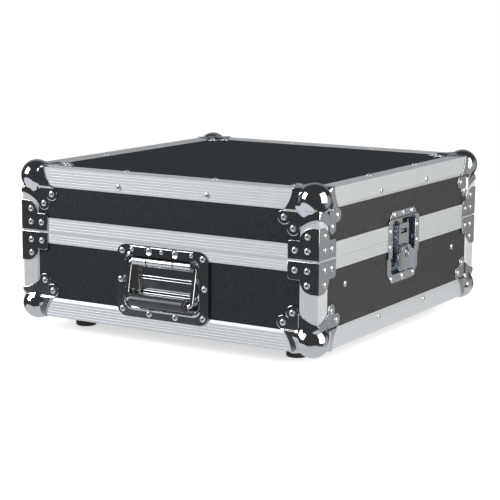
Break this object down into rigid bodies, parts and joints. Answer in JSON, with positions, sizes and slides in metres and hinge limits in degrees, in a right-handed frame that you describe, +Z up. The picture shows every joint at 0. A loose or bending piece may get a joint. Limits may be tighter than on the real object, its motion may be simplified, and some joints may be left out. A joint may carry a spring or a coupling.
{
  "type": "flight case",
  "caption": "Black laminated flight case with aluminium edging, ball corners, a lift-off lid, a recessed sprung handle, side butterfly latches, rubber feet and rack rails inside.",
  "frame": {"origin": "on the floor, under the middle of the case's overall box", "axes": "+Z up; the handle faces -Y; the latches face -X and +X"},
  "size_m": [0.537, 0.5644, 0.263],
  "materials": {
    "laminate": "plywood faced with fine-textured black laminate",
    "extrusion": "bright satin with fine lengthwise ribs",
    "corner_plating": "bright plated pressed steel",
    "upright": "satin angle under a bright plated brace",
    "foot_rubber": "matte black",
    "rail_steel": "zinc plated",
    "dish_plating": "bright plated pressed steel",
    "bail_plating": "bright plated steel",
    "grip_rubber": "matte black, bare",
    "spring_steel": "plain spring steel",
    "latch_zinc": "zinc plated",
    "wing_plating": "bright plated pressed steel",
    "foam": "dark grey foam"
  },
  "bodies": {
    "base": {"base_bottom_board": "laminate", "base_front_board": "laminate", "base_right_board": "laminate", "base_back_board": "laminate", "base_left_board": "laminate", "base_front_angle": "extrusion", "base_right_angle": "extrusion", "base_back_angle": "extrusion", "base_left_angle": "extrusion", "base_rim_front": "extrusion", "base_rim_back": "extrusion", "base_ball_corner_front_left": "corner_plating", "base_ball_corner_front_right": "corner_plating", "base_ball_corner_back_left": "corner_plating", "base_ball_corner_back_right": "corner_plating", "base_upright_front_left": "upright", "base_upright_front_right": "upright", "base_upright_back_left": "upright", "base_upright_back_right": "upright", "foot_front_left": "foot_rubber", "foot_front_right": "foot_rubber", "foot_back_left": "foot_rubber", "foot_back_right": "foot_rubber", "rack_rail_left": "rail_steel", "rack_rail_right": "rail_steel", "handle_dish": "dish_plating", "handle_bracket": "bail_plating", "handle_spring": "spring_steel", "left_latch_dish": "dish_plating", "right_latch_dish": "dish_plating"},
    "lid": {"lid_top_board": "laminate", "lid_front_board": "laminate", "lid_right_board": "laminate", "lid_back_board": "laminate", "lid_left_board": "laminate", "lid_front_angle": "extrusion", "lid_right_angle": "extrusion", "lid_back_angle": "extrusion", "lid_left_angle": "extrusion", "lid_rim_front": "extrusion", "lid_rim_back": "extrusion", "lid_ball_corner_front_left": "corner_plating", "lid_ball_corner_front_right": "corner_plating", "lid_ball_corner_back_left": "corner_plating", "lid_ball_corner_back_right": "corner_plating", "lid_upright_front_left": "upright", "lid_upright_front_right": "upright", "lid_upright_back_left": "upright", "lid_upright_back_right": "upright", "left_keeper_dish": "dish_plating", "right_keeper_dish": "dish_plating", "lid_foam": "foam"},
    "handle": {"handle_bail": "bail_plating", "handle_grip": "grip_rubber"},
    "left_spindle": {"left_latch_spindle": "latch_zinc"},
    "left_hook": {"left_latch_hook": "latch_zinc"},
    "left_wing": {"left_latch_wing": "wing_plating"},
    "right_spindle": {"right_latch_spindle": "latch_zinc"},
    "right_hook": {"right_latch_hook": "latch_zinc"},
    "right_wing": {"right_latch_wing": "wing_plating"}
  },
  "joints": [
    {"name": "lid_lift", "type": "slide", "parent": "base", "child": "lid", "axis": [0, 0, 1], "range_m": [0, 0.12]},
    {"name": "handle_swing", "type": "hinge", "parent": "base", "child": "handle", "pos_m": [0, -0.2607, 0.127], "axis": [-1, 0, 0], "range_deg": [0, 80], "stiffness_Nm_per_rad": 0.25, "springref_deg": -11.46},
    {"name": "left_spindle_turn", "type": "hinge", "parent": "base", "child": "left_spindle", "pos_m": [-0.2605, 0.0063, 0.131], "axis": [-1, 0, 0], "range_deg": [0, 180]},
    {"name": "left_hook_rise", "type": "slide", "parent": "base", "child": "left_hook", "axis": [0, 0, 1], "range_m": [0, 0.007]},
    {"name": "left_wing_fold", "type": "hinge", "parent": "left_spindle", "child": "left_wing", "pos_m": [-0.2644, 0.0063, 0.141], "axis": [0, 1, 0], "range_deg": [0, 90]},
    {"name": "right_spindle_turn", "type": "hinge", "parent": "base", "child": "right_spindle", "pos_m": [0.2605, 0.0063, 0.131], "axis": [1, 0, 0], "range_deg": [0, 180]},
    {"name": "right_hook_rise", "type": "slide", "parent": "base", "child": "right_hook", "axis": [0, 0, 1], "range_m": [0, 0.007]},
    {"name": "right_wing_fold", "type": "hinge", "parent": "right_spindle", "child": "right_wing", "pos_m": [0.2644, 0.0063, 0.141], "axis": [0, -1, 0], "range_deg": [0, 90]}
  ],
  "couplings": [
    {"joint": "left_spindle_turn", "follows": "left_hook_rise", "rad_per_m": 448.79},
    {"joint": "right_spindle_turn", "follows": "right_hook_rise", "rad_per_m": 448.79}
  ]
}
